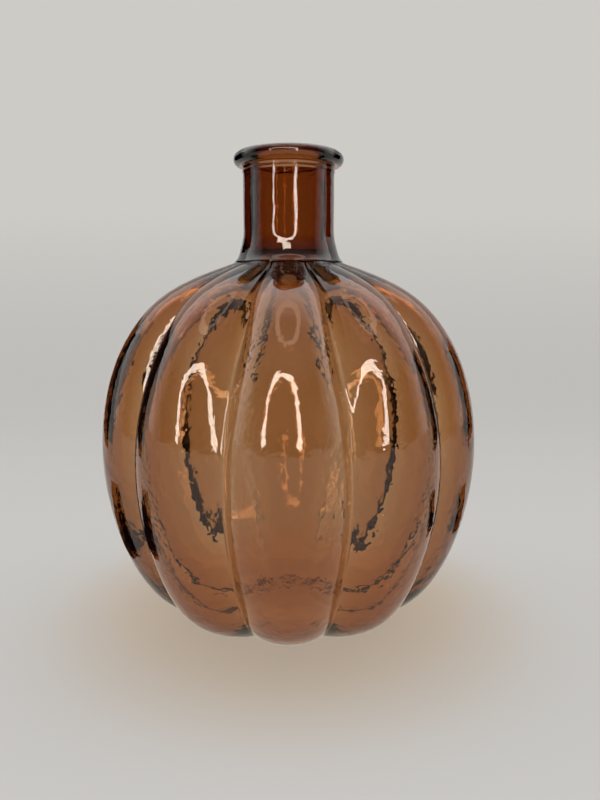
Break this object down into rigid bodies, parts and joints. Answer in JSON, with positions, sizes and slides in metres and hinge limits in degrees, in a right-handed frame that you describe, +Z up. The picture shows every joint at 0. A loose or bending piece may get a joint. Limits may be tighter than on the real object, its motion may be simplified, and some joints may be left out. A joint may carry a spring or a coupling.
{
  "type": "gourd vase",
  "caption": "Blown glass gourd vase: round hollow body pinched into lobes by vertical grooves, straight narrow neck and rolled rim.",
  "frame": {"origin": "middle of the foot, on the plane the vase stands on", "axes": "+Z runs up the neck; the crest of one lobe faces -Y"},
  "size_m": [0.1738, 0.18, 0.2228],
  "materials": {
    "amber_glass": "clear smoky amber glass, smooth, fire polished"
  },
  "bodies": {
    "root": {"glass_vase": "amber_glass"}
  },
  "joints": []
}
